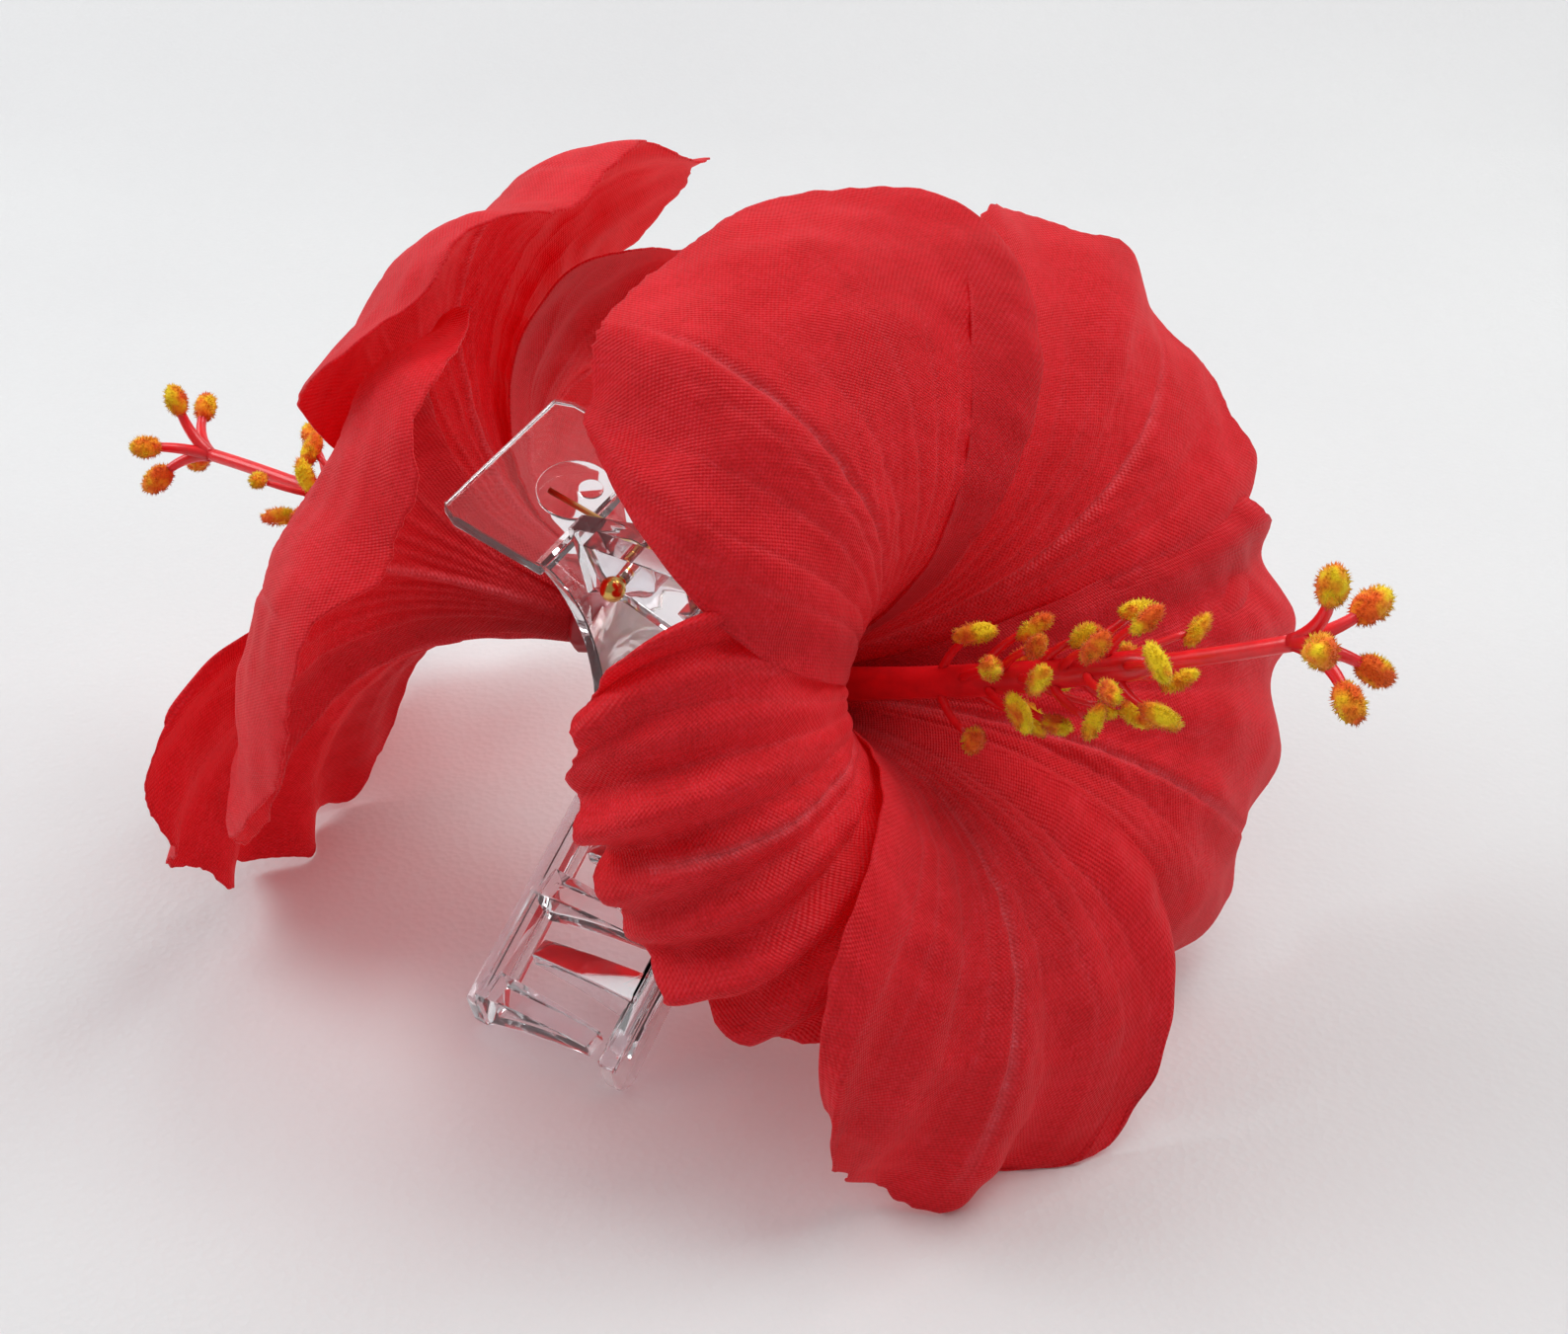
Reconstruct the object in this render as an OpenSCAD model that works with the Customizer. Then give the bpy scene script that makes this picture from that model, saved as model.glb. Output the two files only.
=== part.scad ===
// Claw hair clip in clear plastic with a silk hibiscus glued to each jaw.
// The clip is drawn upright with its hinge along Y, then laid down as it rests
// on a table: tipped about X until the jaws' front ends and the lowest petals touch.
// +X runs from the left flower to the right one. Millimetres.

/* [Clip] */
// Height of the hinge axis above the table as the clip rests
hinge_height = 65; // [55:0.5:85]
// Angle by which the resting clip is tipped back about X
rest_tilt = 15; // [0:1:25]
// Distance from the hinge axis to the outer face of each jaw wall
jaw_half = 12; // [11.5:0.5:16]
// Wall thickness of the jaws and handles
wall = 2; // [1.6:0.2:2.4]
// Length of the jaws along the hinge
jaw_length = 90; // [75:1:110]
// Depth from the hinge axis to the rim at the middle of the jaws
rim_depth = 35; // [31:1:42]
// Slope of the rim towards its two ends
rim_droop = 23; // [18:1:28]
// Width of the band below the rim that carries the teeth
band_width = 7; // [6:0.5:9]

/* [Handles] */
// Length of each handle from the jaw wall to its tip
handle_length = 16; // [12:1:19]
// Width of each handle at its tip
handle_width = 25; // [21:1:29]
// Rise of the handles above the horizontal
handle_slope = 15; // [8:1:22]

/* [Teeth] */
// Number of teeth on the left jaw; the right jaw has one fewer
left_teeth = 7; // [4:1:8]
// Width of a tooth at its root
tooth_root = 4.6; // [3.4:0.2:5.2]
// Width of a tooth at its tip
tooth_tip = 3; // [2.4:0.2:3.4]
// Reach of a tooth across from its own wall
tooth_reach = 18; // [14:0.5:20]

/* [Hinge and spring] */
// Diameter of the hinge pin
pin_d = 1.6; // [1.2:0.1:2]
// Diameter of the ball heads of the pin
ball_d = 3.2; // [2.6:0.1:4]
// Radial clearance of the pin in the ears
pin_clearance = 0.06; // [0.03:0.01:0.1]
// Half width of the ears that carry the pin
ear_span = 10.4; // [9.5:0.1:12]
// Thickness of each ear along the pin
ear_thickness = 3; // [2:0.1:3.2]
// Diameter of the spring wire
wire_d = 0.8; // [0.6:0.1:1]

/* [Flowers] */
// Length of a petal from the calyx to its tip, along the cloth
petal_length = 75; // [60:1:80]
// Share by which the left flower's upper petals are longer than its lower ones
left_stretch = 0.12; // [0:0.02:0.15]
// Half angle that a petal spans around the flower
petal_half_angle = 46; // [40:1:48]
// Thickness of the petals' solids
petal_thickness = 0.8; // [0.5:0.1:1.2]
// Radius of the throat where the petals leave the calyx
throat_radius = 4.8; // [4:0.1:6]
// Depth of the flowers' centres below the hinge axis
flower_drop = 22; // [18:1:26]
// Length of the pistil from the calyx to its fork
pistil_length = 74; // [60:1:85]
// Number of anthers on a pistil
anther_count = 25; // [12:1:32]
// Diameter of an anther's flocked ball
anther_d = 3.6; // [2.4:0.2:4.4]
// Number of stigma arms at the end of a pistil
stigma_count = 5; // [3:1:6]

/* [Hidden] */
$fn = 48;
wire_fn = 24;
rod_fn = 16;

// The table's origin: the middle of the whole object's footprint
footprint_x = -1.7;
footprint_y = 3.7;

// Ears: the right jaw's pair is outside, the left jaw's pair inside
side_gap = 0.35;
right_ear_y = ear_span - ear_thickness / 2;
left_ear_y = right_ear_y - ear_thickness - side_gap;
ear_r = 4;
ear_low = 9;
pin_past = 0.2;
ball_seat = 0.45;
jaw_inner = jaw_half - wall;
ear_root = jaw_inner + wall / 4;
ear_high = ear_r / 2;
handle_root = jaw_inner + 1;

// Round pad on the handle: distance from the hinge, and radius
pad_place = 15;
pad_r = 5;
pad_height = 0.4;
pad_sunk = 0.1;

// Jaw outline
shoulder_half = handle_width / 2;
wall_top = 0.3;
waist_half = 5;
waist_top = 11;
waist_bottom = 8;
rim_join = 12;
band_start = rim_join + 2;
end_y = jaw_length / 2;
end_round = 3;
bead_depth = 1.2;
bead_height = 0.6;
ledge_top = 2.3;
ledge_bottom = 4.5;
ledge_depth = 1.4;

// Teeth: how far the top dips towards the tip, and the depth that is left there with it
tooth_dip = 1.5;
tooth_height = 3.6;
tooth_margin = 0.7;

// Spring
coil_r = pin_d / 2 + wire_d / 2 + 0.5;
coil_half = left_ear_y - ear_thickness / 2 - side_gap;
turn_overlap = 0.03;
spring_turns = 1 + ceil((2 * coil_half - wire_d) / (wire_d - turn_overlap));
leg_y = coil_half - wire_d;
leg_reach = 17;
leg_lift = 1;

// Flowers: where each is glued, and how it faces
glue_r = 7.5;
glue_height = 3;
glue_shoulder = 1;
glue_round = 2.4;
calyx_height = 6;
calyx_low = 1.6;
calyx_r = 3.4;
calyx_fit = 0.02;
calyx_lip = 0.8;
calyx_under_lip = 0.6;
lip_depth = 1.4;
left_pitch = 9;
left_yaw = 184;
left_phase = -4;
left_open = [134, 26, 0];
right_pitch = 21;
right_yaw = 0;
right_phase = 20;
right_open = [136, 42, 75];
first_angle = 12;
petal_gap = 0.9;
petal_above = 0.35;
petal_tuck = 0.4;
curl_power = 1.2;
petal_rows = 13;
petal_columns = 8;
tip_round = 0.2;
tip_narrowing = 10;
column_r = 2.2;
column_taper = 0.8;
neck_run = 4;
neck_r = 1;
fork_r = 0.8;
golden_angle = 137.5;
first_anther = 0.34;
last_anther = 0.7;
filament_reach = 8.5;
filament_lean = 52;
filament_r = 0.55;
stigma_reach = 8;
stigma_lean = 32;
stigma_d = 4;
stigma_r = 0.65;
stigma_root = 0.5;

// Height of the rim below the hinge, at a distance y from the middle
function rim_z(y) = -rim_depth - max(0, abs(y) - rim_join) * tan(rim_droop);
function bezier(p, t) = pow(1 - t, 3) * p[0] + 3 * t * pow(1 - t, 2) * p[1]
    + 3 * t * t * (1 - t) * p[2] + pow(t, 3) * p[3];
function flip(points) = [for (i = [len(points) - 1:-1:0]) [-points[i][0], points[i][1]]];

// Rest pose of everything that belongs to the clip
module lay_down() {
    translate([-footprint_x, -footprint_y, hinge_height]) rotate([rest_tilt, 0, 0]) children();
}

// A flat sheet in Y and Z, standing at distance x from the hinge
module upright(x, thickness) {
    translate([x, 0, 0]) rotate([90, 0, 90]) linear_extrude(thickness) children();
}

// One side of the jaw wall's outline, from the shoulder down to the rim's end
arm_steps = 10;
arm_side = [for (i = [0:arm_steps]) bezier([[shoulder_half, wall_top], [waist_half + 2, -waist_top],
    [waist_half + 1.4, -rim_depth + waist_bottom], [band_start, rim_z(band_start)]], i / arm_steps)];
band_end = [for (a = [0:30:90]) [end_y - end_round * (1 - cos(a)),
    rim_z(end_y) - band_width + end_round * (1 - sin(a))]];
half_wall = concat(arm_side, [[end_y, rim_z(end_y)]], band_end,
    [[rim_join, -rim_depth - band_width]]);

module wall_outline() { polygon(concat(half_wall, flip(half_wall))); }

// Lower band only, for the bead and the ledge: from the rim down by the depths given
module band_outline(from, to, end_gap) {
    side = [[end_y - end_gap, rim_z(end_y - end_gap) - from], [end_y - end_gap, rim_z(end_y - end_gap) - to],
        [rim_join, -rim_depth - to]];
    edge = concat([[band_start, rim_z(band_start) - from]], side);
    polygon(concat(edge, flip(edge)));
}

// Handle outline in plan: straight tip with its corners cut
module handle_outline() {
    cut_along = 2.4;
    cut_across = 1.1;
    half = handle_width / 2;
    polygon([[0, -half], [handle_length - cut_along, -half], [handle_length, -half + cut_across],
        [handle_length, half - cut_across], [handle_length - cut_along, half], [0, half]]);
}

module handle() {
    translate([-handle_root, 0, 0]) rotate([0, handle_slope, 0]) {
        translate([0, 0, -wall]) mirror([1, 0, 0]) linear_extrude(wall) handle_outline();
        // Flat round pad on which the spring's leg bears
        translate([handle_root - pad_place, 0, -pad_sunk]) cylinder(h = pad_height + pad_sunk, r = pad_r);
    }
}

// One tooth: a bar from the wall across the gap, thinner and narrower towards its tip
module tooth(y) {
    steps = 8;
    upper = [for (i = [0:steps]) [i / steps * tooth_reach, -tooth_dip * pow(i / steps, 2)]];
    lower = [for (i = [steps:-1:0]) [i / steps * tooth_reach,
        -tooth_height - (band_width - tooth_height - bead_height) * pow(1 - i / steps, 2)]];
    translate([-jaw_half + wall / 2, y, rim_z(y) - bead_height]) intersection() {
        translate([0, tooth_root, 0]) rotate([90, 0, 0]) linear_extrude(2 * tooth_root)
            polygon(concat(upper, lower));
        translate([0, 0, -2 * band_width]) linear_extrude(3 * band_width)
            polygon([[0, tooth_root / 2], [0, -tooth_root / 2],
                [tooth_reach, -tooth_tip / 2], [tooth_reach, tooth_tip / 2]]);
    }
}

// Ear that carries the pin: a block from the wall, with a corner or a round end past the pin
module ear(y, square) {
    translate([0, y + ear_thickness / 2, 0]) rotate([90, 0, 0]) linear_extrude(ear_thickness) {
        circle(r = ear_r);
        polygon([[-ear_root, ear_high], [0, ear_r], [ear_r * 0.6, -ear_r * 0.8], [0, -ear_r],
            [-ear_root, -ear_low]]);
        if (square)
            polygon([[-ear_root, ear_r], [ear_r + 1, ear_r], [ear_r, -1], [0, -ear_r]]);
    }
}

// A whole jaw, drawn as the left one
module jaw(ear_y, square_ears, tooth_places) {
    color([0.93, 0.94, 0.96, 0.4]) difference() {
        union() {
            upright(-jaw_half, wall) wall_outline();
            upright(-jaw_half - bead_height, wall + bead_height) band_outline(0, bead_depth, 0);
            upright(-jaw_half, wall + ledge_depth) band_outline(ledge_top, ledge_bottom, end_round);
            handle();
            for (side = [-1, 1]) ear(side * ear_y, square_ears);
            for (y = tooth_places) tooth(y);
        }
        rotate([90, 0, 0]) cylinder(h = 2 * ear_span + 2, r = pin_d / 2 + pin_clearance, center = true);
    }
}

// Teeth of the two jaws alternate along the hinge
tooth_pitch = (jaw_length - tooth_root - 2 * tooth_margin) / (left_teeth - 1);
left_tooth_places = [for (i = [0:left_teeth - 1]) (i - (left_teeth - 1) / 2) * tooth_pitch];
right_tooth_places = [for (i = [0:left_teeth - 2]) (i - (left_teeth - 2) / 2) * tooth_pitch];

module left_jaw() { lay_down() jaw(left_ear_y, false, left_tooth_places); }
module right_jaw() { lay_down() mirror([1, 0, 0]) jaw(right_ear_y, true, right_tooth_places); }

// Hinge pin with a ball at each end
module hinge_pin() {
    color("gold") lay_down() {
        translate([0, -ear_span - pin_past, 0]) rotate([-90, 0, 0])
            cylinder(h = 2 * (ear_span + pin_past), r = pin_d / 2);
        for (side = [-1, 1])
            translate([0, side * (ear_span + pin_past + ball_d * ball_seat), 0]) sphere(d = ball_d);
    }
}

// Torsion spring: a close-wound coil around the pin, with a leg along each handle's inner face
module torsion_spring() {
    pitch = (2 * coil_half - wire_d) / (spring_turns - 1);
    color("darkgoldenrod") lay_down() {
        rotate([90, 0, 0]) rotate_extrude() for (i = [0:spring_turns - 1])
            translate([coil_r, -coil_half + wire_d / 2 + i * pitch]) circle(d = wire_d, $fn = wire_fn);
        for (side = [-1, 1])
            translate([0, side * leg_y, -coil_r]) mirror([side < 0 ? 1 : 0, 0, 0])
                rotate([0, 90 - handle_slope - leg_lift, 0])
                    cylinder(h = leg_reach, d = wire_d, $fn = wire_fn);
    }
}

// Places a flower on the outer face of a jaw: its own Z is the flower's axis and X points up
module flower_frame(side, pitch, yaw) {
    translate([-footprint_x, -footprint_y, hinge_height])
        translate([side * jaw_half, flower_drop * sin(rest_tilt), -flower_drop * cos(rest_tilt)])
            rotate([0, 90 - pitch, yaw]) rotate([0, 0, 180]) children();
}

// Half section of the calyx, widened by the fit and cut off at the top
function calyx_section(fit, top) = [[0, calyx_low - fit], [calyx_r + fit, calyx_low - fit],
    [throat_radius + calyx_under_lip + fit, calyx_height - lip_depth],
    [throat_radius + calyx_lip + fit, top], [0, top]];

// Dome of hot glue that fills the space between jaw and calyx
module glue(side, pitch, yaw) {
    color([0.95, 0.93, 0.88]) difference() {
        lay_down() translate([side * jaw_half, 0, -flower_drop]) rotate([0, side * 90, 0])
            rotate_extrude() polygon([[0, 0], [glue_r, 0], [glue_r - glue_shoulder, glue_height * 0.7],
                [glue_r - glue_round, glue_height], [0, glue_height]]);
        flower_frame(side, pitch, yaw) rotate_extrude()
            polygon(calyx_section(calyx_fit, 2 * calyx_height));
    }
}

// The petals of one flower lie on one curved surface. Its angle away from the flower's axis grows
// with the share u of the cloth's length, most on the side that faces the angle curl_at.
function rim_angle(open, around) = open[0] + open[1] * cos(around - open[2]);
function cloth_angle(u, last) = first_angle + (last - first_angle) * pow(u, curl_power);

// Place on that surface, as height and radius, and its angle there: a walk of petal_rows steps
function on_surface(run, full, last) = let (step = run / petal_rows)
    [for (i = 0, w = calyx_height + petal_above, r = throat_radius - petal_tuck; i <= petal_rows;
        a = cloth_angle((i + 0.5) * step / full, last), w = w + cos(a) * step, r = r + sin(a) * step,
        i = i + 1) if (i == petal_rows) [w, r, cloth_angle(run / full, last)]][0];

// Point of a petal: share t across, row i along, d the distance off the cloth's middle
function petal_point(t, i, phase, open, stretch, d) =
    let (around = phase + t * (petal_half_angle - tip_narrowing * pow(i / petal_rows, 4)),
        full = petal_length * (1 + stretch * cos(around)),
        c = on_surface(full * (1 - tip_round * pow(abs(t), 3)) * i / petal_rows, full,
            rim_angle(open, around)),
        off = petal_gap * t + d, r = c[1] - off * cos(c[2]), w = c[0] + off * sin(c[2]))
        [r * cos(around), r * sin(around), w];

// A petal as a closed thin shell: rows along it, columns across it
module petal(phase, open, stretch) {
    n = petal_columns + 1;
    layer = n * (petal_rows + 1);
    points = [for (d = [-0.5, 0.5]) for (i = [0:petal_rows]) for (j = [0:petal_columns])
        petal_point(2 * j / petal_columns - 1, i, phase, open, stretch, d * petal_thickness)];
    quads = [for (i = [0:petal_rows - 1]) for (j = [0:petal_columns - 1]) [i * n + j, i * n + j + 1,
        (i + 1) * n + j + 1, (i + 1) * n + j]];
    ends = concat([for (j = [0:petal_columns - 1]) [j, j + 1]],
        [for (i = [0:petal_rows - 1]) [i * n + n - 1, (i + 1) * n + n - 1]],
        [for (j = [petal_columns:-1:1]) [petal_rows * n + j, petal_rows * n + j - 1]],
        [for (i = [petal_rows:-1:1]) [i * n, (i - 1) * n]]);
    faces = concat(
        [for (q = quads) for (f = [[q[2], q[1], q[0]], [q[3], q[2], q[0]]]) f],
        [for (q = quads) for (f = [[q[0], q[1], q[2]], [q[0], q[2], q[3]]]) [for (v = f) v + layer]],
        [for (e = ends) for (f = [[e[0], e[1], e[1] + layer], [e[0], e[1] + layer, e[0] + layer]]) f]);
    polyhedron(points, faces);
}

module left_petal(i) {
    color([0.82, 0.12, 0.18]) flower_frame(-1, left_pitch, left_yaw)
        petal(left_phase + i * 72, left_open, left_stretch);
}
module right_petal(i) {
    color([0.82, 0.12, 0.18]) flower_frame(1, right_pitch, right_yaw)
        petal(right_phase + i * 72, right_open, 0);
}

module calyx(side, pitch, yaw) {
    color([0.55, 0.05, 0.08]) flower_frame(side, pitch, yaw) rotate_extrude()
        polygon(calyx_section(0, calyx_height));
}

// Where anther number i sits on the pistil, as a share of its length
function anther_place(i) = first_anther + (last_anther - first_anther) * i / (anther_count - 1);

// Moulded pistil: column, filaments and stigma arms in one piece
module pistil(side, pitch, yaw) {
    color([0.84, 0.1, 0.12]) flower_frame(side, pitch, yaw) {
        rotate_extrude() polygon([[0, calyx_height], [column_r, calyx_height],
            [column_r * column_taper, pistil_length * last_anther],
            [neck_r, pistil_length * last_anther + neck_run],
            [fork_r, pistil_length], [0, pistil_length + neck_r]]);
        for (i = [0:anther_count - 1])
            translate([0, 0, anther_place(i) * pistil_length]) rotate([0, 0, i * golden_angle])
                rotate([0, filament_lean, 0]) cylinder(h = filament_reach, r = filament_r, $fn = rod_fn);
        for (i = [0:stigma_count - 1])
            translate([0, 0, pistil_length - stigma_root]) rotate([0, 0, i * 360 / stigma_count])
                rotate([0, stigma_lean, 0]) cylinder(h = stigma_reach, r = stigma_r, $fn = rod_fn);
    }
}

module anthers(side, pitch, yaw) {
    color([0.95, 0.62, 0.05]) flower_frame(side, pitch, yaw) for (i = [0:anther_count - 1])
        translate([0, 0, anther_place(i) * pistil_length]) rotate([0, 0, i * golden_angle])
            rotate([0, filament_lean, 0]) translate([0, 0, filament_reach + anther_d / 2])
                sphere(d = anther_d);
}

module stigmas(side, pitch, yaw) {
    color([0.96, 0.7, 0.08]) flower_frame(side, pitch, yaw) for (i = [0:stigma_count - 1])
        translate([0, 0, pistil_length - stigma_root]) rotate([0, 0, i * 360 / stigma_count])
            rotate([0, stigma_lean, 0]) translate([0, 0, stigma_reach + stigma_d / 2]) sphere(d = stigma_d);
}

left_jaw();
right_jaw();
hinge_pin();
torsion_spring();
glue(-1, left_pitch, left_yaw);  // left_glue
calyx(-1, left_pitch, left_yaw);  // left_calyx
pistil(-1, left_pitch, left_yaw);  // left_pistil
anthers(-1, left_pitch, left_yaw);  // left_anthers
stigmas(-1, left_pitch, left_yaw);  // left_stigmas
left_petal(0);  // left_petal_1
left_petal(1);  // left_petal_2
left_petal(2);  // left_petal_3
left_petal(3);  // left_petal_4
left_petal(4);  // left_petal_5
glue(1, right_pitch, right_yaw);  // right_glue
calyx(1, right_pitch, right_yaw);  // right_calyx
pistil(1, right_pitch, right_yaw);  // right_pistil
anthers(1, right_pitch, right_yaw);  // right_anthers
stigmas(1, right_pitch, right_yaw);  // right_stigmas
right_petal(0);  // right_petal_1
right_petal(1);  // right_petal_2
right_petal(2);  // right_petal_3
right_petal(3);  // right_petal_4
right_petal(4);  // right_petal_5
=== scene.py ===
"""Clear claw hair clip with a red silk hibiscus on each jaw, on a pale studio table."""
import math
import random

import bmesh
import bpy
import numpy as np
from mathutils import Matrix, Vector


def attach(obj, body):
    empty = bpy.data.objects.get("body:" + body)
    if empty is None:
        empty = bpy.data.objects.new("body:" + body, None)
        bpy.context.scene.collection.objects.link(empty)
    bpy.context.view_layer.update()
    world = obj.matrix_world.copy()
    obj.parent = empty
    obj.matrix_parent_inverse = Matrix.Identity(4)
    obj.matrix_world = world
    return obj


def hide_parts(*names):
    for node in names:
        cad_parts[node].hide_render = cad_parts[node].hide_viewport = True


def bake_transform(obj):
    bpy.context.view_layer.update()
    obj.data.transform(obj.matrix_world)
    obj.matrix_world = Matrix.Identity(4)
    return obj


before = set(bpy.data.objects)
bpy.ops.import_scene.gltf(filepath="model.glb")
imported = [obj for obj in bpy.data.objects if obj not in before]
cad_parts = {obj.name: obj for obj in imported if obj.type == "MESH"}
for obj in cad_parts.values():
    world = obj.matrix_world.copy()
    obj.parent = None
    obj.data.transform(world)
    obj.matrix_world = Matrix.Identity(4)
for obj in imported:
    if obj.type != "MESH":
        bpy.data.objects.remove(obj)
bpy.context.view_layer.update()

MM = 0.001
HINGE = Vector((1.7, -3.7, 65.0))
TILT = math.radians(15)
REST = Matrix.Translation(HINGE) @ Matrix.Rotation(TILT, 4, "X")

# Sizes shared with the CAD, in millimetres, in the upright clip's frame with its hinge along Y
JAW_HALF = 12
JAW_END = 45
WALL = 2.0
RIM_DEPTH = 35
RIM_JOIN = 12
RIM_DROOP = math.radians(23)
BAND = 7
FLOWER_DROP = 22
HANDLE_RISE = math.radians(15)
HANDLE_ROOT = 11
HANDLE_LENGTH = 16
HANDLE_HALF = 12.5
TOOTH_REACH = 18
TOOTH_ROOT = 4.6
EAR_R = 4
EAR_THICK = 3.0
PIN_R = 0.8
BALL_R = 1.6
COIL_R = 1.75
WIRE_R = 0.4
LEG_Y = 2.9
PISTIL_LENGTH = 74.0


# ---------------------------------------------------------------- camera
def look_from(azimuth, elevation, target, distance, lens):
    a, e = math.radians(azimuth), math.radians(elevation)
    back = Vector((math.sin(a) * math.cos(e), -math.cos(a) * math.cos(e), math.sin(e)))
    data = bpy.data.cameras.new("camera")
    data.lens = lens
    data.sensor_width = 36
    data.sensor_fit = "HORIZONTAL"
    data.clip_start = 0.01
    data.clip_end = 30
    cam = bpy.data.objects.new("camera", data)
    cam.location = (Vector(target) + back * distance) * MM
    cam.rotation_euler = back.to_track_quat("Z", "Y").to_euler()
    bpy.context.scene.collection.objects.link(cam)
    bpy.context.scene.camera = cam


look_from(35.0, 31.5, HINGE + Vector((11.4, 8.1, -20.0)), 292.0, 52.37)


# ---------------------------------------------------------------- materials
def material(name):
    mat = bpy.data.materials.new(name)
    mat.use_nodes = True
    nodes = mat.node_tree.nodes
    return mat, nodes, mat.node_tree.links, nodes["Principled BSDF"], nodes["Material Output"]


def ramp(nodes, stops):
    node = nodes.new("ShaderNodeValToRGB")
    elements = node.color_ramp.elements
    while len(elements) < len(stops):
        elements.new(0.5)
    for element, (place, colour) in zip(elements, stops):
        element.position = place
        element.color = (*colour, 1)
    return node


def noise_node(nodes, links, vector, scale, detail=4.0, roughness=0.5):
    node = nodes.new("ShaderNodeTexNoise")
    node.inputs["Scale"].default_value = scale
    node.inputs["Detail"].default_value = detail
    node.inputs["Roughness"].default_value = roughness
    links.new(vector, node.inputs["Vector"])
    return node


def bump_node(nodes, links, height, distance, strength, normal=None):
    node = nodes.new("ShaderNodeBump")
    node.inputs["Distance"].default_value = distance
    node.inputs["Strength"].default_value = strength
    links.new(height, node.inputs["Height"])
    if normal is not None:
        links.new(normal, node.inputs["Normal"])
    return node


def cloth_material():
    """Red woven polyester: threads in both directions of the cut, satin sheen, creases paled partly by wear
    and partly by painted sheen.
    """
    mat, nodes, links, shader, out = material("petal_cloth")
    uv = nodes.new("ShaderNodeUVMap")
    uv.uv_map = "cloth"
    place = nodes.new("ShaderNodeMapping")
    place.inputs["Scale"].default_value = (100, 100, 100)
    links.new(uv.outputs["UV"], place.inputs["Vector"])
    threads = []
    for turn in (0.0, math.pi / 2):
        side = nodes.new("ShaderNodeMapping")
        side.inputs["Rotation"].default_value = (0, 0, turn + 0.6)
        links.new(place.outputs["Vector"], side.inputs["Vector"])
        wave = nodes.new("ShaderNodeTexWave")
        wave.inputs["Scale"].default_value = 0.82
        wave.inputs["Distortion"].default_value = 0.6
        wave.inputs["Detail"].default_value = 1.0
        wave.inputs["Detail Scale"].default_value = 0.6
        links.new(side.outputs["Vector"], wave.inputs["Vector"])
        threads.append(wave)
    weave = nodes.new("ShaderNodeMath")
    weave.operation = "ADD"
    links.new(threads[0].outputs["Fac"], weave.inputs[0])
    links.new(threads[1].outputs["Fac"], weave.inputs[1])
    blotch = noise_node(nodes, links, place.outputs["Vector"], 0.09, 5.0, 0.6)
    slub = noise_node(nodes, links, place.outputs["Vector"], 1.6, 3.0, 0.6)

    streaks = []
    for stretch in ((0.35, 4.0, 1.0), (4.0, 0.35, 1.0)):
        side = nodes.new("ShaderNodeMapping")
        side.inputs["Rotation"].default_value = (0, 0, 0.6)
        side.inputs["Scale"].default_value = stretch
        links.new(place.outputs["Vector"], side.inputs["Vector"])
        streaks.append(noise_node(nodes, links, side.outputs["Vector"], 1.0, 3.0, 0.7))
    yarn = nodes.new("ShaderNodeMath")
    yarn.operation = "MULTIPLY"
    links.new(streaks[0].outputs["Fac"], yarn.inputs[0])
    links.new(streaks[1].outputs["Fac"], yarn.inputs[1])

    vein = nodes.new("ShaderNodeVertexColor")
    vein.layer_name = "relief"
    parts = nodes.new("ShaderNodeSeparateColor")
    links.new(vein.outputs["Color"], parts.inputs["Color"])

    base = ramp(nodes, [(0.3, (0.74, 0.008, 0.016)), (0.7, (0.88, 0.016, 0.030))])
    links.new(blotch.outputs["Fac"], base.inputs["Fac"])
    # throat is deeper red; the creases are paler pink, partly wear and partly painted sheen
    deep = nodes.new("ShaderNodeMix")
    deep.data_type = "RGBA"
    deep.inputs["B"].default_value = (0.50, 0.002, 0.007, 1)
    links.new(parts.outputs["Green"], deep.inputs["Factor"])
    links.new(base.outputs["Color"], deep.inputs["A"])
    pale_wear_and_sheen = nodes.new("ShaderNodeMix")
    pale_wear_and_sheen.data_type = "RGBA"
    pale_wear_and_sheen.inputs["B"].default_value = (0.86, 0.22, 0.26, 1)
    links.new(parts.outputs["Red"], pale_wear_and_sheen.inputs["Factor"])
    links.new(deep.outputs["Result"], pale_wear_and_sheen.inputs["A"])
    shade = nodes.new("ShaderNodeMix")
    shade.data_type = "RGBA"
    shade.blend_type = "MULTIPLY"
    shade.inputs["Factor"].default_value = 0.45
    links.new(pale_wear_and_sheen.outputs["Result"], shade.inputs["A"])
    tone = ramp(nodes, [(0.2, (0.72, 0.6, 0.6)), (0.9, (1.08, 1.08, 1.08))])
    half = nodes.new("ShaderNodeMath")
    half.operation = "MULTIPLY"
    half.inputs[1].default_value = 0.5
    links.new(weave.outputs["Value"], half.inputs[0])
    links.new(half.outputs["Value"], tone.inputs["Fac"])
    links.new(tone.outputs["Color"], shade.inputs["B"])
    fleck = nodes.new("ShaderNodeMix")
    fleck.data_type = "RGBA"
    fleck.blend_type = "MULTIPLY"
    fleck.inputs["Factor"].default_value = 1.0
    flecks = ramp(nodes, [(0.13, (0.80, 0.70, 0.70)), (0.25, (1.05, 1.05, 1.05)), (0.40, (1.12, 2.6, 2.6))])
    links.new(yarn.outputs["Value"], flecks.inputs["Fac"])
    links.new(shade.outputs["Result"], fleck.inputs["A"])
    links.new(flecks.outputs["Color"], fleck.inputs["B"])
    links.new(fleck.outputs["Result"], shader.inputs["Base Color"])

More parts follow.
